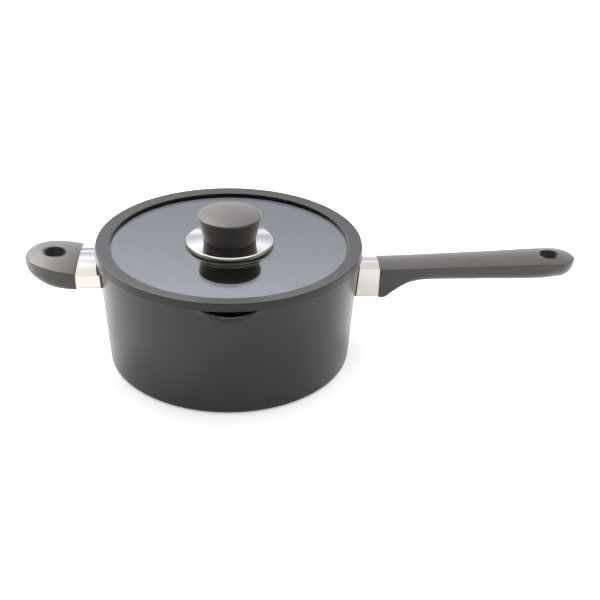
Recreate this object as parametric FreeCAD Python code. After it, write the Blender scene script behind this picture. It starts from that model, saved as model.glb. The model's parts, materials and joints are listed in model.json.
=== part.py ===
import FreeCAD, Part
import math
import os

# Saucepan with a glass lid. Millimetres; +Z up, +X along the long handle, origin at the centre of the
# base on the surface that the pan stands on.

# ---- vessel ----
RIM_Z = 94.0            # height of the rim
WALL_R0 = 99.1          # outside radius of the wall line, at the foot
WALL_R1 = 104.75        # outside radius at the rim
WALL = 2.6              # wall thickness
FLOOR = 5.0             # thickness of the floor
FOOT_FILLET = 4.0
FLOOR_FILLET = 8.0
RIM_ROUND = 0.9
PLATE_R = 84.0          # steel plate let into the base
PLATE_T = 1.2
PLATE_GROOVES = (28.0, 46.0, 64.0)
LIP_R = 32.5            # pouring lips, front and back
LIP_REACH = 115.8       # where the flared lip would meet the rim height
LIP_DIP = 3.0
LIP_HALF = 24.5

# ---- lid ----
LID_GAP = 0.05          # clearance under the seated lid
GLASS_Z = 97.3          # top face of the glass
GLASS_T = 4.0
GLASS_R = 101.0
GLASS_HOLE_R = 5.0
DISC_R = 35.3
DISC_CROWN = 4.6        # height of the disc's shoulder above the glass
DISC_T = 0.8
KNOB_BASE_R = 20.9
KNOB_EDGE_R = 25.65      # where the flared side would meet the dome, before the edge is rounded
KNOB_ROUND = 1.3
KNOB_SHOULDER = 24.8    # heights above the glass
KNOB_APEX = 27.0
SCREW_R = 2.5
SCREW_HEAD_R = 4.6
WASHER_T = 1.0

# ---- handles ----
PAD_T = 0.9             # bracket pad between the wall and the ferrule
FERRULE_T = 1.2
CROWN = 2.2             # rise of the long handle's top across its width
HELPER_CROWN = 3.5
LONG_SEAM = 121.0       # ferrule to grip
LONG_END_X = 267.8      # centre of the round end
LONG_END_R = 15.9
LONG_HOLE_X = 262.4
LONG_HOLE_R = 7.7
HELPER_SEAM = 120.0
HELPER_HOLE_X = 138.6
HELPER_HOLE_R = 8.7

# long grip: distance from the pan's axis, half width, height of the side fold, underside, corner radius
LONG_ROOT = (13.5, 79.0, 52.9, 3.0)
LONG_STATIONS = (
    (126.3,) + LONG_ROOT,
    (131.0, 13.5, 79.15, 56.5, 3.5),
    (135.0, 13.5, 79.25, 59.2, 4.1),
    (139.0, 13.5, 79.4, 61.8, 4.8),
    (144.0, 13.5, 79.6, 64.3, 5.7),
    (149.0, 13.6, 79.8, 66.0, 6.5),
    (156.0, 13.7, 80.1, 67.1, 7.2),
    (165.0, 13.8, 80.5, 67.5, 7.8),
    (178.0, 14.0, 81.1, 67.7, 8.0),
    (196.0, 14.3, 81.8, 67.9, 8.0),
    (216.0, 14.7, 82.6, 68.3, 8.0),
    (236.0, 15.3, 83.5, 68.6, 8.0),
    (254.0, 15.8, 84.3, 68.8, 9.0),
    (262.0, 15.9, 84.55, 68.8, 11.0),
    (LONG_END_X, LONG_END_R, 84.6, 68.8, 13.0),
)

# helper grip: the same, with the crown's rise last
HELPER_ROOT = (28.3, 83.4, 69.2, 3.0, HELPER_CROWN)
HELPER_STATIONS = (
    (HELPER_SEAM,) + HELPER_ROOT,
    (124.0, 28.3, 84.3, 69.0, 4.0, 3.5),
    (128.5, 28.3, 85.1, 68.8, 5.5, 3.5),
    (133.5, 27.95, 85.9, 68.8, 7.0, 3.4),
    (138.5, 26.95, 86.7, 69.2, 8.0, 3.2),
    (143.0, 25.5, 87.4, 70.3, 8.0, 2.8),
    (147.0, 23.5, 87.9, 71.6, 8.0, 2.4),
    (151.0, 20.9, 88.3, 73.2, 7.6, 1.9),
    (154.5, 17.8, 88.5, 75.1, 6.6, 1.4),
    (157.5, 14.2, 88.4, 77.1, 5.2, 1.0),
    (159.6, 10.6, 88.1, 78.9, 4.0, 0.6),
    (161.0, 7.3, 87.6, 80.4, 2.8, 0.35),
    (161.8, 4.4, 87.0, 81.6, 1.8, 0.2),
)


def wall_r(z):
    """Outside radius of the wall at a height."""
    return WALL_R0 + (WALL_R1 - WALL_R0) * z / RIM_Z


def outline(points):
    """Closed wire in the XZ plane from (x, z, corner radius) points."""
    corners = [FreeCAD.Vector(x, 0, z) for x, z, _ in points]
    edges = []
    starts, ends, middles = [], [], []
    for i, (x, z, radius) in enumerate(points):
        here = corners[i]
        back = (corners[i - 1] - here).normalize()
        ahead = (corners[(i + 1) % len(points)] - here).normalize()
        if not radius:
            starts.append(here)
            ends.append(here)
            middles.append(None)
            continue
        half = back.getAngle(ahead) / 2
        bisector = (back + ahead).normalize()
        centre = here + bisector * (radius / math.sin(half))
        starts.append(here + back * (radius / math.tan(half)))
        ends.append(here + ahead * (radius / math.tan(half)))
        middles.append(centre - bisector * radius)
    for i in range(len(points)):
        if middles[i]:
            edges.append(Part.Arc(starts[i], middles[i], ends[i]).toShape())
        following = starts[(i + 1) % len(points)]
        if (following - ends[i]).Length > 1e-6:
            edges.append(Part.LineSegment(ends[i], following).toShape())
    return Part.Wire(edges)


def turned(points, x=0.0):
    """Solid of revolution about a vertical axis at x."""
    solid = Part.Face(outline(points)).revolve(FreeCAD.Vector(), FreeCAD.Vector(0, 0, 1), 360)
    solid.translate(FreeCAD.Vector(x, 0, 0))
    return solid


def rod(radius, z0, z1, x=0.0, y=0.0):
    return Part.makeCylinder(radius, z1 - z0, FreeCAD.Vector(x, y, z0))


def washer(outer, inner, z0, z1, x=0.0, y=0.0):
    return rod(outer, z0, z1, x, y).cut(rod(inner, z0, z1, x, y))


def hexagon(radius, z0, z1, x=0.0, y=0.0):
    points = [FreeCAD.Vector(x + radius * math.cos(math.radians(60 * i)),
                             y + radius * math.sin(math.radians(60 * i)), z0) for i in range(7)]
    return Part.Face(Part.makePolygon(points)).extrude(FreeCAD.Vector(0, 0, z1 - z0))


def section(x, half, fold, under, corner, crown=CROWN):
    """Cross-section of a handle: crowned top, upright sides, rounded lower corners."""
    def at(y, z):
        return FreeCAD.Vector(x, y, z)
    slant = corner * (1 - math.sqrt(0.5))
    edges = [
        Part.Arc(at(-half, fold), at(0, fold + crown), at(half, fold)),
        Part.LineSegment(at(half, fold), at(half, under + corner)),
        Part.Arc(at(half, under + corner), at(half - slant, under + slant), at(half - corner, under)),
        Part.LineSegment(at(half - corner, under), at(corner - half, under)),
        Part.Arc(at(corner - half, under), at(slant - half, under + slant), at(-half, under + corner)),
        Part.LineSegment(at(-half, under + corner), at(-half, fold)),
    ]
    return Part.Wire([edge.toShape() for edge in edges])


def bar(x0, x1, *sizes):
    """Straight length of handle section."""
    return Part.Face(section(x0, *sizes)).extrude(FreeCAD.Vector(x1 - x0, 0, 0))


def inset(sizes, gap):
    """The same section, smaller all round."""
    half, fold, under, corner = sizes[:4]
    return (half - gap, fold - gap, under + gap, max(corner - gap, 0.6)) + tuple(sizes[4:])


def wall_cone(gap):
    """Solid that fills the vessel's outside, grown outwards by a gap."""
    return Part.makeCone(WALL_R0 + gap, WALL_R1 + gap, RIM_Z)


def hang_hole(x, radius, z0, z1):
    """Round hole with a chamfered mouth at each end."""
    mouth_low = Part.makeCone(radius + 2.0, radius, 2.0, FreeCAD.Vector(x, 0, z0 - 1.0))
    mouth_high = Part.makeCone(radius, radius + 2.0, 2.0, FreeCAD.Vector(x, 0, z1 - 1.2))
    return rod(radius, z0 - 5, z1 + 5, x).multiFuse([mouth_low, mouth_high])


def behind(shape):
    """Turn a piece round to the other side of the pan."""
    shape.rotate(FreeCAD.Vector(), FreeCAD.Vector(0, 0, 1), 180)
    return shape


def save(shape, name):
    os.makedirs("parts", exist_ok=True)
    assert shape.isValid() and len(shape.Solids) == 1, name
    shape.exportStep("parts/" + name + ".step")
    print(name, round(shape.Volume, 1), [round(v, 2) for v in (
        shape.BoundBox.XMin, shape.BoundBox.XMax, shape.BoundBox.YMin, shape.BoundBox.YMax,
        shape.BoundBox.ZMin, shape.BoundBox.ZMax)])


# ---- the vessel ----

def lip(radius, side):
    """Slanting tube that forms a pouring lip on one side of the rim."""
    direction = FreeCAD.Vector(0, side, 1).normalize()
    centre = FreeCAD.Vector(0, side * (LIP_REACH - LIP_R * math.sqrt(2)), RIM_Z)
    tube = Part.makeCylinder(radius, 200, centre - direction * 100, direction)
    return tube.common(Part.makeBox(200, 200, 14, FreeCAD.Vector(-100, -100 + side * 100, RIM_Z - 14)))


def vessel():
    inner_foot = wall_r(FLOOR) - WALL
    outer = turned(((0, 0, 0), (WALL_R0, 0, FOOT_FILLET), (WALL_R1, RIM_Z, 0), (0, RIM_Z, 0)))
    inner = turned(((0, FLOOR, 0), (inner_foot, FLOOR, FLOOR_FILLET), (WALL_R1 - WALL, RIM_Z, 0),
                    (0, RIM_Z, 0)))
    body = outer.multiFuse([lip(LIP_R, 1), lip(LIP_R, -1)])
    hollow = inner.multiFuse([lip(LIP_R - WALL, 1), lip(LIP_R - WALL, -1)])
    body = body.cut(hollow)
    dip_r = (LIP_HALF ** 2 + LIP_DIP ** 2) / (2 * LIP_DIP)
    for y in (-130, 80):
        body = body.cut(Part.makeCylinder(dip_r, 50, FreeCAD.Vector(0, y, RIM_Z - LIP_DIP + dip_r),
                                          FreeCAD.Vector(0, 1, 0)))
    body = body.removeSplitter()
    rim = [edge for edge in body.Edges if edge.BoundBox.ZMin > RIM_Z - LIP_DIP - 0.1]
    body = body.makeFillet(RIM_ROUND, rim)
    return body.cut(rod(PLATE_R, -1, PLATE_T))


def base_plate():
    plate = rod(PLATE_R, 0, PLATE_T)
    for radius in PLATE_GROOVES:
        plate = plate.cut(washer(radius + 0.8, radius - 0.8, -1, 0.4))
    return plate


save(vessel(), "pan_body")
save(base_plate(), "base_plate")

# ---- long handle ----

FERRULE_LONG = (14.2, 78.9, 54.2, 2.5)
TANG_LONG = (73.0, 77.5)
SCREW_LONG_X = 152.0


def tang_screw(x, y, head_z, thread_z, radius=2.0, head_r=3.5):
    """Screw driven upwards into a tang, with a hexagon socket in its head."""
    screw = rod(radius, head_z, thread_z, x, y).fuse(rod(head_r, head_z, head_z + 2.3, x, y))
    return screw.cut(hexagon(1.5, head_z - 1, head_z + 1.4, x, y))


def screw_way(x, y, seat_z, top_z, hole_r=2.3, recess_r=4.2):
    """Recess and clearance hole for a screw from below."""
    return rod(recess_r, 40, seat_z, x, y).fuse(rod(hole_r, 40, top_z, x, y))


def pad(sizes):
    """Bracket foot that follows the wall."""
    return bar(80, 130, *inset(sizes, 0.3)).common(wall_cone(PAD_T)).cut(wall_cone(0))


def ferrule(sizes, seam):
    return bar(80, seam, *sizes).cut(bar(80, seam, *inset(sizes, FERRULE_T))).cut(wall_cone(PAD_T))


def long_bracket():
    low, high = TANG_LONG
    tang = Part.makeBox(162 - 90, 14, high - low, FreeCAD.Vector(90, -7, low))
    web = Part.makeBox(112 - 90, 7, low - 57, FreeCAD.Vector(90, -3.5, 57))
    arm = tang.fuse(web).cut(wall_cone(0.5 * PAD_T))
    arm = arm.cut(rod(2.0, low - 1, high + 1, SCREW_LONG_X))
    return pad(FERRULE_LONG).fuse(arm).removeSplitter()


def long_grip():
    root = bar(LONG_SEAM, LONG_STATIONS[0][0], *LONG_ROOT)
    shank = Part.makeLoft([section(*station) for station in LONG_STATIONS], True, False)
    _, half, fold, under, corner = LONG_STATIONS[-1]
    sag_r = (half ** 2 + CROWN ** 2) / (2 * CROWN)
    angle = math.asin(half / sag_r) / 2
    crown = Part.Arc(FreeCAD.Vector(half, 0, fold),
                     FreeCAD.Vector(sag_r * math.sin(angle), 0, fold + CROWN - sag_r * (1 - math.cos(angle))),
                     FreeCAD.Vector(0, 0, fold + CROWN)).toShape()
    slant = corner * (1 - math.sqrt(0.5))
    bend = Part.Arc(FreeCAD.Vector(half - corner, 0, under), FreeCAD.Vector(half - slant, 0, under + slant),
                    FreeCAD.Vector(half, 0, under + corner)).toShape()
    sides = Part.makePolygon([FreeCAD.Vector(0, 0, fold + CROWN), FreeCAD.Vector(0, 0, under),
                              FreeCAD.Vector(half - corner, 0, under)])
    upright = Part.makePolygon([FreeCAD.Vector(half, 0, under + corner), FreeCAD.Vector(half, 0, fold)])
    button = Part.Face(Part.Wire(sides.Edges + [bend] + upright.Edges + [crown]))
    button = button.revolve(FreeCAD.Vector(), FreeCAD.Vector(0, 0, 1), 360)
    button.translate(FreeCAD.Vector(LONG_END_X, 0, 0))
    button = button.common(Part.makeBox(40, 80, 60, FreeCAD.Vector(LONG_END_X, -40, 50)))
    spigot = bar(LONG_SEAM - 7, LONG_SEAM, *inset(FERRULE_LONG, FERRULE_T + 0.2))
    grip = root.multiFuse([shank, button, spigot])
    low, high = TANG_LONG
    grip = grip.cut(Part.makeBox(162.4 - 90, 14.4, high - low + 0.2, FreeCAD.Vector(90, -7.2, low - 0.1)))
    grip = grip.cut(screw_way(SCREW_LONG_X, 0, 70.4, low))
    return grip.cut(hang_hole(LONG_HOLE_X, LONG_HOLE_R, under, fold + CROWN))


save(long_bracket(), "handle_bracket")
save(ferrule(FERRULE_LONG, LONG_SEAM), "handle_ferrule")
save(long_grip(), "handle_grip")
save(tang_screw(SCREW_LONG_X, 0, 67.3, 77.0), "handle_screw")
save(washer(3.9, 2.1, 69.6, 70.4, SCREW_LONG_X), "handle_washer")

# ---- helper handle ----

FERRULE_HELPER = (28.7, 83.0, 70.5, 2.5, HELPER_CROWN)
TANG_HELPER = (75.0, 79.0)
SCREW_HELPER_X = 126.5
SCREW_HELPER_Y = 15.0


def helper_bracket():
    low, high = TANG_HELPER
    tang = Part.makeBox(132 - 90, 44, high - low, FreeCAD.Vector(90, -22, low))
    tang = tang.cut(rod(11.5, low - 1, high + 1, HELPER_HOLE_X)).cut(wall_cone(0.5 * PAD_T))
    for y in (-SCREW_HELPER_Y, SCREW_HELPER_Y):
        tang = tang.cut(rod(2.0, low - 1, high + 1, SCREW_HELPER_X, y))
    return pad(FERRULE_HELPER).fuse(tang).removeSplitter()


def helper_grip():
    low, high = TANG_HELPER
    body = Part.makeLoft([section(*station) for station in HELPER_STATIONS], True, False)
    body = body.fuse(bar(HELPER_SEAM - 6, HELPER_SEAM, *inset(FERRULE_HELPER, FERRULE_T + 0.2)))
    slot = Part.makeBox(132.4 - 90, 44.4, high - low + 0.2, FreeCAD.Vector(90, -22.2, low - 0.1))
    body = body.cut(slot.cut(rod(11.3, low - 1, high + 1, HELPER_HOLE_X)))
    for y in (-SCREW_HELPER_Y, SCREW_HELPER_Y):
        body = body.cut(screw_way(SCREW_HELPER_X, y, 72.2, low))
    return body.cut(hang_hole(HELPER_HOLE_X, HELPER_HOLE_R, 69.2, 89.9))


save(behind(helper_bracket()), "helper_bracket")
save(behind(ferrule(FERRULE_HELPER, HELPER_SEAM)), "helper_ferrule")
save(behind(helper_grip()), "helper_grip")
for side, y in (("front", SCREW_HELPER_Y), ("rear", -SCREW_HELPER_Y)):
    save(behind(tang_screw(SCREW_HELPER_X, y, 69.1, 78.5)), "helper_screw_" + side)
    save(behind(washer(3.9, 2.1, 71.4, 72.2, SCREW_HELPER_X, y)), "helper_washer_" + side)

# ---- lid ----

GLASS_LOW = GLASS_Z - GLASS_T
SEAL_LOW = GLASS_LOW - 1.0
HEAD_TOP = SEAL_LOW - WASHER_T - LID_GAP


def lid_rim():
    """Moulded ring that grips the glass, rests on the rim and reaches down inside it."""
    seat = RIM_Z + LID_GAP
    return turned((
        (95.2, GLASS_Z, 0), (95.2, 99.35, 0.5), (105.9, 100.45, 1.0), (106.9, seat, 0.4), (100.9, seat, 0),
        (100.7, 85.5, 1.2), (97.5, 85.5, 1.2), (97.3, 91.3, 0.8), (93.6, 91.3, 0.8), (93.6, GLASS_LOW, 0),
        (GLASS_R, GLASS_LOW, 0), (GLASS_R, GLASS_Z, 0)))


def knob_disc():
    """Pressed steel cover under the knob, with a rolled edge and a dished centre."""
    top = GLASS_Z + DISC_CROWN
    low = GLASS_Z + 0.6
    edge = DISC_R - DISC_T
    return turned((
        (SCREW_R + 0.8, low, 0), (SCREW_R + 0.8, low + DISC_T, 0), (10.6, low + DISC_T, 1.0),
        (14.4, top, 0.8), (21.6, top, 2.0), (DISC_R - 0.6, GLASS_Z + 3.1, 1.5), (DISC_R, GLASS_Z + 0.5, 0),
        (edge, GLASS_Z + 0.5, 0), (edge - 0.6, GLASS_Z + 2.3, 0.7), (21.6, top - DISC_T, 2.8),
        (14.9, top - DISC_T, 0.8), (11.1, low, 1.0)))


def insert():
    """Brass thread insert."""
    low = GLASS_Z + 0.6 + DISC_T
    return washer(4.5, SCREW_R + 0.05, low, low + 13.5).fuse(rod(4.5, low + 13.5, low + 15))


def knob():
    top = GLASS_Z + DISC_CROWN
    low = GLASS_Z + 0.6 + DISC_T
    shoulder = GLASS_Z + KNOB_SHOULDER
    apex = GLASS_Z + KNOB_APEX
    dome_r = (KNOB_EDGE_R ** 2 + (apex - shoulder) ** 2) / (2 * (apex - shoulder))
    flare = (KNOB_EDGE_R - KNOB_BASE_R) / (shoulder - top)
    blank = turned(((0, top, 0), (KNOB_BASE_R, top, 0.5), (KNOB_EDGE_R + 2 * flare, shoulder + 2, 0),
                    (0, shoulder + 6, 0)))
    blank = blank.common(Part.makeSphere(dome_r, FreeCAD.Vector(0, 0, apex - dome_r)))
    corner = [edge for edge in blank.Edges if edge.BoundBox.ZMin > shoulder - 3 and edge.BoundBox.XLength > 40]
    blank = blank.makeFillet(KNOB_ROUND, corner)
    boss = turned(((0, low, 0), (9.8, low, 0), (12.8, top, 0), (0, top, 0)))
    return blank.fuse(boss).removeSplitter().cut(rod(4.5, low, low + 15))


def knob_screw():
    screw = rod(SCREW_R, HEAD_TOP - 1, GLASS_Z + 13.5).fuse(
        turned(((0, HEAD_TOP - 2.7, 0), (SCREW_HEAD_R, HEAD_TOP - 2.7, 0.9), (SCREW_HEAD_R, HEAD_TOP, 0),
                (0, HEAD_TOP, 0))))
    return screw.cut(hexagon(1.9, HEAD_TOP - 4, HEAD_TOP - 1.1))


save(washer(GLASS_R, GLASS_HOLE_R, GLASS_LOW, GLASS_Z), "lid_glass")
save(lid_rim(), "lid_rim")
save(knob_disc(), "knob_disc")
save(knob(), "knob")
save(insert(), "knob_insert")
save(washer(10.4, SCREW_R + 0.8, GLASS_Z, GLASS_Z + 0.6), "upper_gasket")
save(washer(10.4, SCREW_R + 0.3, SEAL_LOW, GLASS_LOW).fuse(
    washer(GLASS_HOLE_R - 0.1, SCREW_R + 0.3, GLASS_LOW, GLASS_Z)), "lower_gasket")
save(washer(8.5, SCREW_R + 0.3, SEAL_LOW - WASHER_T, SEAL_LOW), "knob_washer")
save(knob_screw(), "knob_screw")
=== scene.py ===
import bmesh
import bpy
import json
import math
from mathutils import Matrix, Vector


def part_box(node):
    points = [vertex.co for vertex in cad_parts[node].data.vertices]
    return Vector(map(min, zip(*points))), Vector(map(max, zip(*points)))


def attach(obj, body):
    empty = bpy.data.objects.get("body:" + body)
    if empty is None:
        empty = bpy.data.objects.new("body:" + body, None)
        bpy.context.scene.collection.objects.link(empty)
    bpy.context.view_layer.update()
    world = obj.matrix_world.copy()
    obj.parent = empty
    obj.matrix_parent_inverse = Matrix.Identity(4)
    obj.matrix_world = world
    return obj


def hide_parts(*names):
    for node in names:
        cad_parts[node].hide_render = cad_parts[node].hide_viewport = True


# Saucepan with a glass lid. The object's lengths are in millimetres, and are turned into metres when
# a piece is finished. The studio's are in metres.
# +X runs along the long handle, +Z up along the pan's axis.

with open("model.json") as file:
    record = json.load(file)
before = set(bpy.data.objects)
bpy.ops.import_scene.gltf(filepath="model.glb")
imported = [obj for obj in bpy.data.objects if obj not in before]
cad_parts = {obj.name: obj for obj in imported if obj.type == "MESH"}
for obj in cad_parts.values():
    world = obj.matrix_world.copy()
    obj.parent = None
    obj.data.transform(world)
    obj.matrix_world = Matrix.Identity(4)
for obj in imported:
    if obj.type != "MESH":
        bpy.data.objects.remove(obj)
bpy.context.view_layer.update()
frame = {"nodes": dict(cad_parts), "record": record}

MM = 0.001


def extent(node):
    """Lowest and highest corner of a CAD node, in millimetres."""
    low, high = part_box(node)
    return low / MM, high / MM


# ---- vessel ----
RIM_Z = extent("pan_body")[1].z
PLATE_R = extent("base_plate")[1].x
PLATE_T = extent("base_plate")[1].z
PLATE_GAP = 0.05
WALL_R0 = 99.1          # outside radius of the wall line, at the foot
WALL_R1 = 104.75        # outside radius at the rim
WALL = 2.6
FLOOR = 5.0
FOOT_ROUND = 4.0
FLOOR_ROUND = 8.0       # rounding inside, where the floor meets the wall
FLOOR_LOOP = 60         # radius of a loop of edges on the flat floor
RIM_ROUND = 0.9
LIP_LOW = 80.0          # height at which the pouring lips begin
LIP_R = 32.5
LIP_REACH = 114.9
LIP_DIP = 3.0
LIP_TILT = 1.1          # how much higher the inner edge of a lip stands than its outer edge
LIP_HALF = 26.0
LIP_BLEND = 3.5
ROUND_STEPS = 256       # faces round the large turned pieces

# heights of the loops of edges round the wall, close together where the lips are drawn
WALL_LOOPS = (30, 55, *[LIP_LOW + i - 0.9 for i in range(1, 15)])

# ---- lid ----
GLASS_Z = extent("lid_glass")[1].z
GLASS_LOW = extent("lid_glass")[0].z
GLASS_R = 101.0
GLASS_HOLE = 5.0
RING_R = 106.9
RING_TOP = 100.45           # height of the ring's top at its outer edge
RING_DIP = 99.35            # height of the ring's top at its inner edge
RING_LOW = extent("lid_rim")[0].z
RING_WINDOW = 95.2          # inner radius of the ring above the glass
RING_LEDGE = (93.6, 91.3)   # inner radius and underside of the ledge below the glass
RING_SKIRT = (97.5, 100.7)  # inner and outer radius of the part that reaches into the vessel
RING_SEAT = RIM_Z + 0.05    # just clear of the vessel's rim
DISC_R = 35.3
DISC_SHEET = 0.8
DISC_HOLE = 3.3
DISC_DISH = 10.6            # radius of the flat bottom of the dished centre
DISC_RISE = 14.4            # radius at which the dish reaches the top
DISC_FALL = 21.6            # radius at which the top turns down towards the edge
DISC_TOP = extent("knob_disc")[1].z
DISC_LOW = extent("knob_disc")[0].z
KNOB_LOW = extent("knob")[0].z
KNOB_APEX = extent("knob")[1].z
KNOB_PILLAR = 9.8           # radius of the knob's foot in the dish
KNOB_NECK = 12.8
KNOB_BASE_R = 20.9
KNOB_EDGE_R = 25.65
KNOB_ROUND = 1.3
KNOB_DOME = 2.2             # rise of the knob's domed top
INSERT_R = extent("knob_insert")[1].x
INSERT_TOP = extent("knob_insert")[1].z

# ---- handles ----
PAD_T = 0.9             # dark bracket pad between the wall and a ferrule
FERRULE_T = 1.2
FERRULE_EASE = 0.35     # easing of a ferrule's outer edges
TONGUE_GAP = 0.2        # play of a grip's tongue inside its ferrule
SEAM_EASE = 0.3         # easing of a grip's edge at its ferrule
FOLD_ROUND = 0.5        # rounding between a handle's crowned top and its sides
LEAST_CORNER = 0.6
CROWN = 2.2             # rise of the long handle's top across its width
HELPER_CROWN = 3.5
CROWN_STEPS = 16
LONG_SEAM = extent("handle_ferrule")[1].x
LONG_END_X = 267.8      # centre of the long grip's round end
LONG_TONGUE = 7
HELPER_SEAM = -extent("helper_ferrule")[0].x
HELPER_TONGUE = 6

# hang holes: distance from the pan's axis and radius
LONG_HOLE = (262.4, 7.7)
HELPER_HOLE = (138.6, 8.7)
HELPER_HOLE_SPAN = (69.15, 89.95)   # heights of its mouths
HOLE_MOUTH = 1.3                    # rounding of a hole's mouths
HOLE_FLAT = 0.6                     # how far a hole's cutter reaches past that rounding

# cross-sections: half width, side fold, underside, corner radius, crown
FERRULE_LONG = (14.2, 78.9, 54.2, 2.5, CROWN)
FERRULE_HELPER = (28.7, 83.0, 70.5, 2.5, HELPER_CROWN)

# slots for the brackets' tangs: lower and upper face, half width, end
TANG_LONG = (73.0, 77.5, 7.2, 162.4)
TANG_HELPER = (75.0, 79.0, 22.2, 132.4)
TANG_PLAY = 0.2

SCREW_R = 4.2           # recess round a screw head
SCREW_HEAD = 3.5        # radius of a screw head
SCREW_FROM = 30         # height below the handles, from which the recesses are cut
HELPER_SCREWS = (126.5, (-15, 15))

# long grip: distance from the pan's axis, then its cross-section
LONG_STATIONS = (
    (LONG_SEAM, 13.5, 79.0, 52.9, 3.0, CROWN),
    (126.3, 13.5, 79.0, 52.9, 3.0, CROWN),
    (131.0, 13.5, 79.15, 56.5, 3.5, CROWN),
    (135.0, 13.5, 79.25, 59.2, 4.1, CROWN),
    (139.0, 13.5, 79.4, 61.8, 4.8, CROWN),
    (144.0, 13.5, 79.6, 64.3, 5.7, CROWN),
    (149.0, 13.6, 79.8, 66.0, 6.5, CROWN),
    (156.0, 13.7, 80.1, 67.1, 7.2, CROWN),
    (165.0, 13.8, 80.5, 67.5, 7.8, CROWN),
    (178.0, 14.0, 81.1, 67.7, 8.0, CROWN),
    (196.0, 14.3, 81.8, 67.9, 8.0, CROWN),
    (216.0, 14.7, 82.6, 68.3, 8.0, CROWN),
    (236.0, 15.3, 83.5, 68.6, 8.0, CROWN),
    (254.0, 15.8, 84.3, 68.8, 9.0, CROWN),
    (262.0, 15.9, 84.45, 68.8, 11.0, CROWN),
    (LONG_END_X, 15.9, 84.5, 68.8, 13.0, CROWN),
)
# helper grip: the same, towards the other side
HELPER_STATIONS = (
    (HELPER_SEAM, 28.3, 83.4, 69.2, 3.0, 3.5),
    (124.0, 28.3, 84.3, 69.0, 4.0, 3.5),
    (128.5, 28.3, 85.1, 68.8, 5.5, 3.5),
    (133.5, 27.95, 85.9, 68.8, 7.0, 3.4),
    (138.5, 26.95, 86.7, 69.2, 8.0, 3.2),
    (143.0, 25.5, 87.4, 70.3, 8.0, 2.8),
    (147.0, 23.5, 87.9, 71.6, 8.0, 2.4),
    (151.0, 20.9, 88.3, 73.2, 7.6, 1.9),
    (154.5, 17.8, 88.5, 75.1, 6.6, 1.4),
    (157.5, 14.2, 88.4, 77.1, 5.2, 1.0),
    (159.6, 10.6, 88.1, 78.9, 4.0, 0.6),
    (161.0, 7.3, 87.6, 80.4, 2.8, 0.35),
    (161.7, 4.4, 87.0, 81.6, 1.8, 0.2),
)


# ---- shaping ----

def wall_r(z):
    """Outside radius of the wall at a height."""
    return WALL_R0 + (WALL_R1 - WALL_R0) * z / RIM_Z


def round_corner(bm, vert, radius, segments=5):
    """Turn a corner of a wire into an arc."""
    arms = [edge.other_vert(vert).co - vert.co for edge in vert.link_edges]
    reach = radius / math.tan(arms[0].angle(arms[1]) / 2)
    bmesh.ops.bevel(bm, geom=[vert], offset=reach, offset_type="OFFSET", affect="VERTICES",
                    segments=segments, profile=0.5, material=-1)


def profile(bm, points, closed=True):
    """Wire through (radius, height, rounding) points."""
    verts = [bm.verts.new((r, 0, z)) for r, z, _ in points]
    for one, two in zip(verts, verts[1:] + (verts[:1] if closed else [])):
        bm.edges.new((one, two))
    for vert, (_, _, rounding) in zip(verts, points):
        if rounding:
            round_corner(bm, vert, rounding)


def clean(bm):
    bmesh.ops.remove_doubles(bm, verts=bm.verts, dist=0.002)
    bmesh.ops.recalc_face_normals(bm, faces=bm.faces)


def turned(points, closed=True, steps=ROUND_STEPS):
    """Spin a profile about the pan's axis."""
    bm = bmesh.new()
    profile(bm, points, closed)
    bmesh.ops.spin(bm, geom=bm.verts[:] + bm.edges[:], cent=(0, 0, 0), axis=(0, 0, 1),
                   angle=2 * math.pi, steps=steps, use_merge=True)
    clean(bm)
    return bm


def ring(bm, x, half, fold, under, corner, crown):
    """Closed cross-section of a handle: crowned top, upright sides, rounded corners.

    Returns its edges."""
    before = set(bm.edges)
    across = [half * (2 * i / CROWN_STEPS - 1) for i in range(CROWN_STEPS + 1)]
    verts = [bm.verts.new((x, y, fold + crown * (1 - (y / half) ** 2))) for y in across]
    verts += [bm.verts.new((x, y, under)) for y in (half, 0, -half)]
    for one, two in zip(verts, verts[1:] + verts[:1]):
        bm.edges.new((one, two))
    rounded = {0: FOLD_ROUND, CROWN_STEPS: FOLD_ROUND, CROWN_STEPS + 1: corner, -1: corner}
    for i, radius in rounded.items():
        round_corner(bm, verts[i], radius)
    return [edge for edge in bm.edges if edge not in before]


def loft(bm, rings, closed=False):
    """Skin through rings of edges."""
    for one, two in zip(rings, rings[1:] + (rings[:1] if closed else [])):
        bmesh.ops.bridge_loops(bm, edges=one + two)


def inset(sizes, gap):
    """The same cross-section, smaller all round."""
    half, fold, under, corner, crown = sizes
    return half - gap, fold - gap, under + gap, max(corner - gap, LEAST_CORNER), crown


def between(stations, count=3):
    """More stations on a smooth curve through the given ones."""
    found = []
    for i in range(len(stations) - 1):
        one, two = stations[i], stations[i + 1]
        before, after = stations[max(i - 1, 0)], stations[min(i + 2, len(stations) - 1)]
        for step in range(count):
            t = step / count
            weights = ((-t + 2 * t * t - t ** 3) / 2, (2 - 5 * t * t + 3 * t ** 3) / 2,
                       (t + 4 * t * t - 3 * t ** 3) / 2, (t ** 3 - t * t) / 2)
            found.append(tuple(sum(w * v for w, v in zip(weights, values))
                               for values in zip(before, one, two, after)))
    return found + [stations[-1]]


def make_object(bm, name, scale=MM):
    bmesh.ops.transform(bm, matrix=Matrix.Scale(scale, 4), verts=bm.verts)
    mesh = bpy.data.meshes.new(name)
    bm.to_mesh(mesh)
    bm.free()
    made = bpy.data.objects.new(name, mesh)
    bpy.context.scene.collection.objects.link(made)
    return made


def smooth(piece, angle):
    """Shade smoothly up to an angle, with flat faces kept flat beside their rounded edges."""
    piece.data.shade_smooth()
    piece.data.set_sharp_from_angle(angle=math.radians(angle))
    weighted = piece.modifiers.new("weighted", "WEIGHTED_NORMAL")
    weighted.keep_sharp = True


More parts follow.
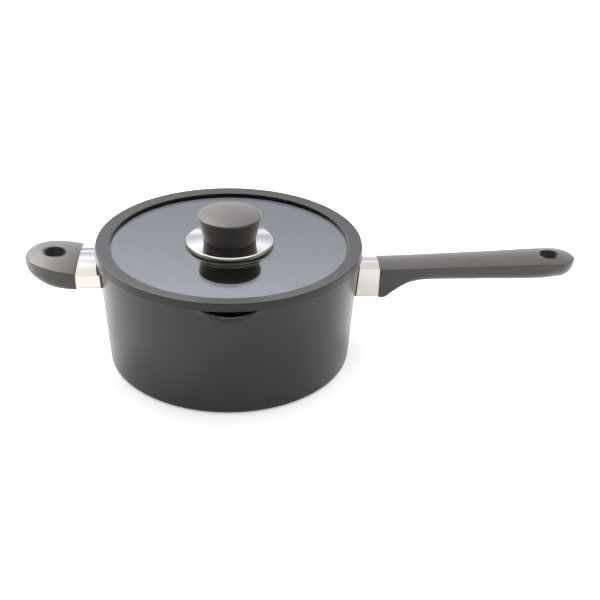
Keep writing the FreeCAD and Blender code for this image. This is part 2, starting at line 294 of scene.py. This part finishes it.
def cut(piece, *cutters):
    """Take the cutters' shapes out of a piece."""
    for cutter in cutters:
        hole = piece.modifiers.new("hole", "BOOLEAN")
        hole.object, hole.operation, hole.solver = cutter, "DIFFERENCE", "EXACT"
    bpy.context.view_layer.update()
    evaluated = piece.evaluated_get(bpy.context.evaluated_depsgraph_get())
    shaped = bpy.data.meshes.new_from_object(evaluated)
    piece.modifiers.clear()
    piece.data = shaped
    for cutter in cutters:
        bpy.data.objects.remove(cutter)


def place(piece, body, node, slot, angle=32):
    """Shade a finished piece smoothly, give it the finish of a slot, attach it to its body and hide
    the CAD node that it stands for.
    """
    smooth(piece, angle)
    piece.data.materials.clear()
    piece.data.materials.append(FINISHES[slot])
    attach(piece, body)
    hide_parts(node)


def moved(bm, x=0.0, y=0.0):
    bmesh.ops.translate(bm, verts=bm.verts, vec=(x, y, 0))
    return bm


# ---- finishes ----

class Signal:
    """A shader socket that takes part in Python arithmetic."""

    def __init__(self, finish, socket):
        self.finish = finish
        self.socket = socket

    def maths(self, operation, *terms):
        return self.finish.node("ShaderNodeMath", {"operation": operation}, dict(enumerate(terms)))

    def __add__(self, other):
        return self.maths("ADD", self, other)

    def __sub__(self, other):
        return self.maths("SUBTRACT", self, other)

    def __rsub__(self, other):
        return self.maths("SUBTRACT", other, self)

    def __mul__(self, other):
        return self.maths("MULTIPLY", self, other)

    __radd__ = __add__
    __rmul__ = __mul__


class Finish:
    """A material: constants on its shader, and nodes for what changes over the surface."""

    def __init__(self, name, **constants):
        self.material = bpy.data.materials.new(name)
        self.material.use_nodes = True
        self.tree = self.material.node_tree
        self.shader = self.tree.nodes["Principled BSDF"]
        for socket, value in constants.items():
            self.shader.inputs[socket.replace("_", " ")].default_value = value
        self.here = self.node("ShaderNodeTexCoord", output="Object")

    def node(self, kind, settings=None, inputs=None, output=0):
        """Add a node, with its settings set first, and return one of its outputs."""
        made = self.tree.nodes.new(kind)
        for name, value in (settings or {}).items():
            setattr(made, name, value)
        self.feed(made, inputs or {})
        return Signal(self, made.outputs[output])

    def feed(self, node, inputs):
        """Set a node's sockets to values, or link signals to them."""
        for socket, value in inputs.items():
            if isinstance(value, Signal):
                self.tree.links.new(value.socket, node.inputs[socket])
            elif isinstance(value, tuple) and len(value) == 3 and node.inputs[socket].type == "RGBA":
                node.inputs[socket].default_value = (*value, 1)
            else:
                node.inputs[socket].default_value = value

    def noise(self, size, detail=2.0, roughness=0.5):
        """Soft noise with features of about a size in millimetres."""
        return self.node("ShaderNodeTexNoise", {}, {
            "Vector": self.here, "Scale": 1 / (size * MM), "Detail": detail,
            "Roughness": roughness}, "Fac")

    def blend(self, share, one, two):
        """Mix of two colours."""
        return self.node("ShaderNodeMix", {"data_type": "RGBA"}, {0: share, 6: one, 7: two}, 2)

    def spread(self, value, low, high, to_low=0.0, to_high=1.0):
        """Stretch a value's range, clamped and with soft ends."""
        return self.node("ShaderNodeMapRange", {"interpolation_type": "SMOOTHSTEP"}, {
            "Value": value, "From Min": low, "From Max": high, "To Min": to_low, "To Max": to_high})

    def radius(self):
        """Distance from the pan's axis, in metres."""
        flat = self.node("ShaderNodeVectorMath", {"operation": "MULTIPLY"},
                         {0: self.here, 1: (1, 1, 0)})
        return self.node("ShaderNodeVectorMath", {"operation": "LENGTH"}, {0: flat}, "Value")

    def bump(self, height, depth):
        """Bump from a height of 0 to 1 and a depth in millimetres."""
        return self.node("ShaderNodeBump", {}, {"Height": height, "Distance": depth * MM,
                                                "Strength": 1.0}, "Normal")

    def done(self, **inputs):
        """Feed the shader's own sockets and return the material."""
        self.feed(self.shader, {name.replace("_", " "): value for name, value in inputs.items()})
        return self.material


def dark_coating():
    """Smooth semi-gloss cooking coat, with a very fine sprayed texture."""
    coat = Finish("dark_coating", IOR=1.39)
    clouds = coat.noise(38, 3)
    spray = coat.noise(0.8, 1)
    return coat.done(
        Base_Color=coat.blend(clouds, (0.0100, 0.0095, 0.0098), (0.0135, 0.0128, 0.0132)),
        Roughness=0.285 + clouds * 0.02 + spray * 0.01,
        Normal=coat.bump(spray, 0.0004))


def polished_steel():
    """Mirror polish with the finest of rub lines."""
    steel = Finish("polished_steel", Metallic=1.0)
    haze = steel.noise(7, 4, 0.6)
    lines = steel.noise(0.35, 2)
    return steel.done(
        Base_Color=steel.blend(haze, (0.470, 0.450, 0.432), (0.500, 0.479, 0.460)),
        Roughness=0.05 + steel.spread(haze, 0.45, 0.75) * 0.03,
        Normal=steel.bump(lines, 0.0002))


def turned_steel():
    """Steel with the fine rings that turning leaves, about 0.4 mm apart."""
    steel = Finish("turned_steel", Metallic=1.0)
    rings = steel.node("ShaderNodeTexNoise", {"noise_dimensions": "1D"}, {
        "W": steel.radius(), "Scale": 2600, "Detail": 2.0}, "Fac")
    scuffs = steel.spread(steel.noise(14, 5, 0.65), 0.50, 0.72)
    return steel.done(
        Base_Color=steel.blend(scuffs, (0.62, 0.60, 0.58), (0.54, 0.52, 0.50)),
        Roughness=0.22 + rings * 0.12 + scuffs * 0.08,
        Normal=steel.bump(rings, 0.01))


def plain_steel():
    """Small fasteners: bright steel with fine scratches."""
    steel = Finish("plain_steel", Metallic=1.0)
    scratches = steel.noise(0.4, 3)
    return steel.done(
        Base_Color=steel.blend(scratches, (0.50, 0.49, 0.48), (0.62, 0.61, 0.60)),
        Roughness=0.24 + scratches * 0.15,
        Normal=steel.bump(scratches, 0.004))


def grip_phenolic():
    """Dark warm plastic with a fine moulded grain and a satin sheen."""
    plastic = Finish("grip_phenolic", IOR=1.50, Sheen_Weight=0.58, Sheen_Roughness=0.4,
                     Sheen_Tint=(1.0, 0.96, 0.92, 1))
    grain = plastic.noise(0.9, 3, 0.65)
    pits = plastic.spread(plastic.noise(1.3, 2), 0.58, 0.74)
    clouds = plastic.noise(16, 3)
    return plastic.done(
        Base_Color=plastic.blend(clouds, (0.0155, 0.0134, 0.0118), (0.0210, 0.0186, 0.0168)),
        Roughness=0.40 + grain * 0.10,
        Normal=plastic.bump(grain - pits * 0.6, 0.16))


def rim_silicone():
    """Satin grey-black silicone with a faint bloom."""
    rubber = Finish("rim_silicone", IOR=1.37, Sheen_Weight=0.4, Sheen_Roughness=0.35)
    bloom = rubber.noise(12, 4, 0.6)
    skin = rubber.noise(0.5, 2)
    return rubber.done(
        Base_Color=rubber.blend(bloom, (0.0070, 0.0070, 0.0075), (0.0100, 0.0100, 0.0106)),
        Roughness=0.34 + bloom * 0.06,
        Normal=rubber.bump(skin, 0.006))


def seal_silicone():
    """Black silicone of the gaskets."""
    rubber = Finish("seal_silicone", IOR=1.43)
    skin = rubber.noise(0.6, 3)
    return rubber.done(
        Base_Color=rubber.blend(skin, (0.010, 0.010, 0.010), (0.020, 0.020, 0.021)),
        Roughness=0.5 + skin * 0.12,
        Normal=rubber.bump(skin, 0.02))


def lid_glass():
    """Clear toughened glass, with a tint that hardly varies."""
    glass = Finish("lid_glass", Transmission_Weight=1.0, IOR=1.7)
    wave = glass.noise(45, 2)
    return glass.done(
        Base_Color=glass.blend(wave, (0.92, 0.955, 0.965), (0.94, 0.970, 0.975)),
        Roughness=0.001 + wave * 0.002)


def brass():
    """Plain brass, a little tarnished."""
    metal = Finish("brass_insert", Metallic=1.0)
    tarnish = metal.noise(1.5, 3)
    return metal.done(
        Base_Color=metal.blend(tarnish, (0.62, 0.44, 0.18), (0.74, 0.56, 0.26)),
        Roughness=0.25 + tarnish * 0.2,
        Normal=metal.bump(tarnish, 0.01))


def bracket_coat():
    """Dark satin coat on the handle brackets."""
    coat = Finish("bracket_coat", IOR=1.5)
    skin = coat.noise(0.7, 3)
    return coat.done(
        Base_Color=coat.blend(skin, (0.010, 0.010, 0.010), (0.018, 0.017, 0.017)),
        Roughness=0.42 + skin * 0.12,
        Normal=coat.bump(skin, 0.012))


FINISHES = {
    "dark_enamel": dark_coating(),
    "steel_plate": turned_steel(),
    "bracket_coat": bracket_coat(),
    "polished_steel": polished_steel(),
    "grip_phenolic": grip_phenolic(),
    "screw_steel": plain_steel(),
    "rim_silicone": rim_silicone(),
    "lid_glass": lid_glass(),
    "brass_insert": brass(),
    "seal_silicone": seal_silicone(),
}


# ---- the vessel ----

def soft_max(one, two, width):
    """The larger of two values, with a soft change from one to the other."""
    share = max(width - abs(one - two), 0) / width
    return max(one, two) + share * share * width / 4


def lip_reach(angle, z, tube_r):
    """How far the tube that forms a pouring lip reaches from the pan's axis, in a direction.

    The tube slants outwards at 45 degrees. Returns 0 where the direction misses it."""
    slant = math.sqrt(2)
    across, along = math.cos(angle) / tube_r, abs(math.sin(angle)) / (tube_r * slant)
    centre = LIP_REACH - LIP_R * slant + z - RIM_Z
    offset = centre / (tube_r * slant)
    a, b, c = across ** 2 + along ** 2, along * offset, offset ** 2 - 1
    inside = b * b - a * c
    return (b + math.sqrt(inside)) / a if inside > 0 else 0.0


def flare_lips(bm):
    """Draw the rim out and down into a pouring lip at the front and at the back."""
    for vert in bm.verts:
        x, y, z = vert.co
        share = (z - LIP_LOW) / (RIM_Z - LIP_LOW)
        if share <= 0:
            continue
        radius, angle = math.hypot(x, y), math.atan2(y, x)
        side = min(abs(x) / LIP_HALF, 1)
        depth = max(wall_r(z) - radius, 0)
        if y * y > x * x:
            dip = LIP_DIP - LIP_TILT * min(depth / WALL, 1)
            z -= dip * math.cos(side * math.pi / 2) ** 2 * min(share, 1) ** 2
        drawn = soft_max(radius, lip_reach(angle, z, LIP_R - depth), LIP_BLEND)
        vert.co = drawn * math.cos(angle), drawn * math.sin(angle), z


def vessel():
    plate = PLATE_R + PLATE_GAP
    outer = [(wall_r(z), z, 0) for z in WALL_LOOPS]
    inner = [(wall_r(z) - WALL, z, 0) for z in reversed(WALL_LOOPS)]
    bm = turned(
        [(0, PLATE_T, 0), (plate, PLATE_T, 0), (plate, 0, 0.3), (WALL_R0, 0, FOOT_ROUND)]
        + outer + [(WALL_R1, RIM_Z, RIM_ROUND), (WALL_R1 - WALL, RIM_Z, RIM_ROUND)] + inner
        + [(wall_r(FLOOR) - WALL, FLOOR, FLOOR_ROUND), (FLOOR_LOOP, FLOOR, 0), (0, FLOOR, 0)],
        closed=False)
    flare_lips(bm)
    place(make_object(bm, "pan_vessel"), "pan", "pan_body", "dark_enamel", 40)


# ---- handles ----

def wall_ring(bm, gap, sizes):
    """Ring that stands a gap off the pan's wall and follows it."""
    edges = ring(bm, 100, *sizes)
    for vert in {vert for edge in edges for vert in edge.verts}:
        vert.co.x = math.sqrt((wall_r(vert.co.z) + gap) ** 2 - vert.co.y ** 2)
    return edges


def ferrule(sizes, seam):
    """Sleeve between the wall and a grip, with eased edges."""
    bm = bmesh.new()
    inner, eased = inset(sizes, FERRULE_T), inset(sizes, FERRULE_EASE)
    loft(bm, [wall_ring(bm, PAD_T, inner), wall_ring(bm, PAD_T, eased),
              wall_ring(bm, PAD_T + FERRULE_EASE, sizes), ring(bm, seam - FERRULE_EASE, *sizes),
              ring(bm, seam, *eased), ring(bm, seam, *inner)], closed=True)
    clean(bm)
    return bm


def ferrules():
    bm = ferrule(FERRULE_LONG, LONG_SEAM)
    place(make_object(bm, "long_ferrule"), "pan", "handle_ferrule", "polished_steel")
    bm = ferrule(FERRULE_HELPER, HELPER_SEAM)
    bmesh.ops.rotate(bm, verts=bm.verts, cent=(0, 0, 0), matrix=Matrix.Rotation(math.pi, 3, "Z"))
    place(make_object(bm, "helper_sleeve"), "pan", "helper_ferrule", "polished_steel")


def hole_cutter(x, radius, low, high):
    """Hang hole with rounded mouths."""
    edge, beyond = radius + HOLE_MOUTH + HOLE_FLAT, 5
    return make_object(moved(turned((
        (0, low - beyond, 0), (edge, low - beyond, 0), (edge, low, 0), (radius, low, HOLE_MOUTH),
        (radius, high, HOLE_MOUTH), (edge, high, 0), (edge, high + beyond, 0),
        (0, high + beyond, 0)), closed=False, steps=64), x), "hole")


def recess_cutter(x, y, top):
    """Recess for a screw, from below."""
    return make_object(moved(turned((
        (0, SCREW_FROM, 0), (SCREW_R, SCREW_FROM, 0), (SCREW_R, top, 0), (0, top, 0)),
        closed=False, steps=48), x, y), "recess")


def slot_cutter(low, high, half, end):
    """Slot for a bracket's tang."""
    length = 60
    bm = bmesh.new()
    bmesh.ops.create_cube(bm, size=1)
    bmesh.ops.scale(bm, vec=(length, 2 * half, high - low + TANG_PLAY), verts=bm.verts)
    bmesh.ops.translate(bm, vec=(end - length / 2, 0, (low + high) / 2), verts=bm.verts)
    return make_object(bm, "slot")


def grip_shell(stations, sleeve, depth):
    """Skin of a grip, from the tongue inside its sleeve to its last station.

    Returns the unfinished mesh and its last ring of edges."""
    bm = bmesh.new()
    tongue = inset(sleeve, FERRULE_T + TONGUE_GAP)
    (seam, *first), *rest = between(stations)
    rings = [ring(bm, seam - depth, *tongue), ring(bm, seam, *tongue),
             ring(bm, seam, *inset(first, SEAM_EASE)), ring(bm, seam + SEAM_EASE, *first)]
    rings += [ring(bm, x, *sizes) for x, *sizes in rest]
    bmesh.ops.edgeloop_fill(bm, edges=rings[0])
    loft(bm, rings)
    return bm, rings[-1]


def long_grip():
    bm, last = grip_shell(LONG_STATIONS, FERRULE_LONG, LONG_TONGUE)
    half = [edge for edge in last if all(vert.co.y > -0.001 for vert in edge.verts)]
    bmesh.ops.spin(bm, geom=half + list({vert for edge in half for vert in edge.verts}),
                   cent=(LONG_END_X, 0, 0), axis=(0, 0, 1), angle=-math.pi, steps=32)
    clean(bm)
    piece = make_object(bm, "long_grip")
    _, _, fold, under, _, crown = LONG_STATIONS[-1]
    cut(piece, hole_cutter(*LONG_HOLE, under - 0.05, fold + crown + 0.05),
        recess_cutter(extent("handle_screw")[0].x + SCREW_HEAD, 0, extent("handle_washer")[1].z),
        slot_cutter(*TANG_LONG))
    place(piece, "pan", "handle_grip", "grip_phenolic")


def helper_grip():
    bm, last = grip_shell(HELPER_STATIONS, FERRULE_HELPER, HELPER_TONGUE)
    bmesh.ops.edgeloop_fill(bm, edges=last)
    clean(bm)
    piece = make_object(bm, "helper_grip_piece")
    screw_x, sides = HELPER_SCREWS
    cut(piece, hole_cutter(*HELPER_HOLE, *HELPER_HOLE_SPAN),
        *[recess_cutter(screw_x, y, extent("helper_washer_front")[1].z) for y in sides],
        slot_cutter(*TANG_HELPER))
    piece.data.transform(Matrix.Rotation(math.pi, 4, "Z"))
    place(piece, "pan", "helper_grip", "grip_phenolic")


# ---- lid ----

def lid_pane():
    bm = turned(((GLASS_HOLE, GLASS_LOW, 0.3), (GLASS_R, GLASS_LOW, 0.6), (GLASS_R, GLASS_Z, 0.6),
                 (GLASS_HOLE, GLASS_Z, 0.3)))
    place(make_object(bm, "lid_pane"), "lid", "lid_glass", "lid_glass")


def lid_ring():
    """Moulded ring that grips the glass, rests on the rim and reaches down inside it."""
    ledge, ledge_low = RING_LEDGE
    skirt_in, skirt_out = RING_SKIRT
    taper = 0.2
    bm = turned((
        (RING_WINDOW, GLASS_Z, 0), (RING_WINDOW, RING_DIP, 0.5),
        (RING_R - 1, RING_TOP, 0.7), (RING_R, RING_SEAT, 0.4),
        (skirt_out + taper, RING_SEAT, 0), (skirt_out, RING_LOW, 1.2),
        (skirt_in, RING_LOW, 1.2), (skirt_in - taper, ledge_low, 0.8),
        (ledge, ledge_low, 0.8), (ledge, GLASS_LOW, 0),
        (GLASS_R, GLASS_LOW, 0), (GLASS_R, GLASS_Z, 0)))
    place(make_object(bm, "lid_ring"), "lid", "lid_rim", "rim_silicone")


def knob_cover():
    """Pressed steel cover under the knob, with a rolled edge and a dished centre."""
    inner_edge = DISC_R - DISC_SHEET
    dish_low, dish_high = GLASS_Z + 0.6, GLASS_Z + 1.4
    bm = turned((
        (DISC_HOLE, dish_low, 0), (DISC_HOLE, dish_high, 0), (DISC_DISH, dish_high, 1.0),
        (DISC_RISE, DISC_TOP, 0.8), (DISC_FALL, DISC_TOP, 2.0),
        (DISC_R - 0.6, GLASS_Z + 3.1, 1.5), (DISC_R, DISC_LOW, 0.2),
        (inner_edge, DISC_LOW, 0.2), (inner_edge - 0.6, GLASS_Z + 2.3, 0.7),
        (DISC_FALL, DISC_TOP - DISC_SHEET, 2.8), (DISC_RISE + 0.5, DISC_TOP - DISC_SHEET, 0.8),
        (DISC_DISH + 0.5, dish_low, 1.0)))
    place(make_object(bm, "knob_cover"), "lid", "knob_disc", "polished_steel")


def lid_knob():
    """Flared knob with a domed top, a foot in the cover's dish and a hole for its insert."""
    dome_r = (KNOB_EDGE_R ** 2 + KNOB_DOME ** 2) / (2 * KNOB_DOME)
    dome = [(r, KNOB_APEX - dome_r + math.sqrt(dome_r ** 2 - r * r), 0) for r in range(21, -1, -3)]
    bm = turned(
        [(0, INSERT_TOP, 0), (INSERT_R, INSERT_TOP, 0), (INSERT_R, KNOB_LOW, 0.3),
         (KNOB_PILLAR, KNOB_LOW, 0.4), (KNOB_NECK, DISC_TOP, 0.3), (KNOB_BASE_R, DISC_TOP, 0.5),
         (KNOB_EDGE_R, KNOB_APEX - KNOB_DOME, KNOB_ROUND)] + dome, closed=False, steps=128)
    place(make_object(bm, "lid_knob"), "lid", "knob", "grip_phenolic")


# ---- the studio, in metres ----

ROOM_GLOW = 0.6
FLOOR_GLOW = 1.09
UNDER_GLOW = 0.40       # share of the floor's own light that is left beneath the pan
BACKDROP_GLOW = 5.9
BACKDROP_SHARE = 0.4    # of that glow, apart from the bright patch
BACKDROP_SIZE = (7, 6)
BACKDROP_AT = (0, 3, 3)
PATCH_AT = (-1.8, 3, 2.7)

CAMERA_AT = (0, -0.71971, 0.44598)
CAMERA_TURN = (-4.604, -29.086, 1.93)   # heading, pitch and roll, in degrees
CAMERA_LENS = 59.645


def sheet(name, size, place_at, turn, material):
    """Flat piece of the studio, not part of the object."""
    bm = bmesh.new()
    bmesh.ops.create_grid(bm, x_segments=1, y_segments=1, size=0.5)
    bmesh.ops.scale(bm, vec=(*size, 1), verts=bm.verts)
    bmesh.ops.transform(bm, matrix=Matrix.Translation(place_at) @ turn, verts=bm.verts)
    made = make_object(bm, name, 1.0)
    made.data.materials.append(material)


def pale_floor():
    """Pale floor with some light of its own, less of it beneath the pan."""
    floor = Finish("pale_floor", Roughness=0.8, Emission_Strength=FLOOR_GLOW)
    glow = floor.spread(floor.radius(), 0.17, 0.70, UNDER_GLOW, 1.0)
    return floor.done(
        Base_Color=floor.blend(floor.noise(400, 2), (0.86, 0.86, 0.86), (0.90, 0.90, 0.90)),
        Emission_Color=floor.blend(glow, (0, 0, 0), (1.0, 0.985, 0.965)))


def backdrop_light():
    """Soft upright light behind the object, which its polished and satin faces reflect."""
    cloth = Finish("backdrop_light", Roughness=1.0, Base_Color=(0, 0, 0, 1),
                   Emission_Strength=BACKDROP_GLOW)
    along = cloth.node("ShaderNodeSeparateXYZ", {}, {0: cloth.here}, 0)
    height = cloth.node("ShaderNodeSeparateXYZ", {}, {0: cloth.here}, 2)

    # some light low down, least of it 1.3 m up, most 2 m up, and less again above that
    level = (cloth.spread(height, 1.3, 2.1, 0.47, 1.0) - cloth.spread(height, 1.9, 2.3, 0.0, 0.36)
             + cloth.spread(height, 1.10, 1.36, 0.34, 0.0))
    # a grey line right across, 0.8 to 0.92 m up
    line = cloth.spread(height, 0.66, 0.80) * (1 - cloth.spread(height, 0.92, 1.06))
    level = level * cloth.spread(line, 0.0, 1.0, 1.0, 0.42)
    # brighter at the left
    level = level * cloth.spread(along, -2.0, 2.0, 1.15, 0.85)

    # a round bright patch, high up at the left
    away = cloth.node("ShaderNodeVectorMath", {"operation": "DISTANCE"},
                      {0: cloth.here, 1: PATCH_AT}, 1)
    patch = cloth.spread(away, 0.3, 1.3, 0.9, 0.0)

    tint = cloth.blend(cloth.spread(height, 1.6, 2.6), (0.87, 0.90, 1.0), (1.0, 0.98, 0.955))
    return cloth.done(Emission_Color=cloth.blend(level * BACKDROP_SHARE + patch, (0, 0, 0), tint))


def area_lamp(name, size, watts, colour, place_at):
    """Rectangular lamp that shines straight down."""
    light = bpy.data.lights.new(name, "AREA")
    light.shape = "RECTANGLE"
    light.size, light.size_y = size
    light.energy, light.color = watts, colour
    lamp = bpy.data.objects.new(name, light)
    bpy.context.scene.collection.objects.link(lamp)
    lamp.location = place_at
    return lamp


def studio():
    world = bpy.data.worlds.new("studio")
    bpy.context.scene.world = world
    world.use_nodes = True
    room = world.node_tree.nodes["Background"]
    room.inputs["Color"].default_value = (1.0, 0.99, 0.98, 1)
    room.inputs["Strength"].default_value = ROOM_GLOW

    upright = Matrix.Rotation(math.pi / 2, 4, "X")
    sheet("floor", (30, 30), (0, 0, 0), Matrix.Identity(4), pale_floor())
    sheet("backdrop", BACKDROP_SIZE, BACKDROP_AT, upright, backdrop_light())

    area_lamp("above", (3.0, 2.0), 42, (1.0, 0.98, 0.95), (0.1, 0.3, 2.4))
    key = area_lamp("key", (0.5, 0.6), 52, (1.0, 0.95, 0.88), (-0.85, 1.5, 1.8))
    key.rotation_euler = (-key.location).to_track_quat("-Z", "Y").to_euler()


def camera():
    lens = bpy.data.cameras.new("camera")
    lens.lens, lens.sensor_width = CAMERA_LENS, 36
    made = bpy.data.objects.new("camera", lens)
    bpy.context.scene.collection.objects.link(made)
    heading, pitch, roll = CAMERA_TURN
    made.matrix_world = (Matrix.Translation(CAMERA_AT)
                         @ Matrix.Rotation(math.radians(heading), 4, "Z")
                         @ Matrix.Rotation(math.radians(90 + pitch), 4, "X")
                         @ Matrix.Rotation(math.radians(roll), 4, "Z"))
    bpy.context.scene.camera = made


slots = {part["node"]: part["material_slot"] for part in frame["record"]["subparts"]}
for name, node in frame["nodes"].items():
    node.data.materials.clear()
    node.data.materials.append(FINISHES[slots[name]])

vessel()
ferrules()
long_grip()
helper_grip()
lid_pane()
lid_ring()
knob_cover()
lid_knob()
studio()
camera()
bpy.context.scene.view_settings.view_transform = "Standard"
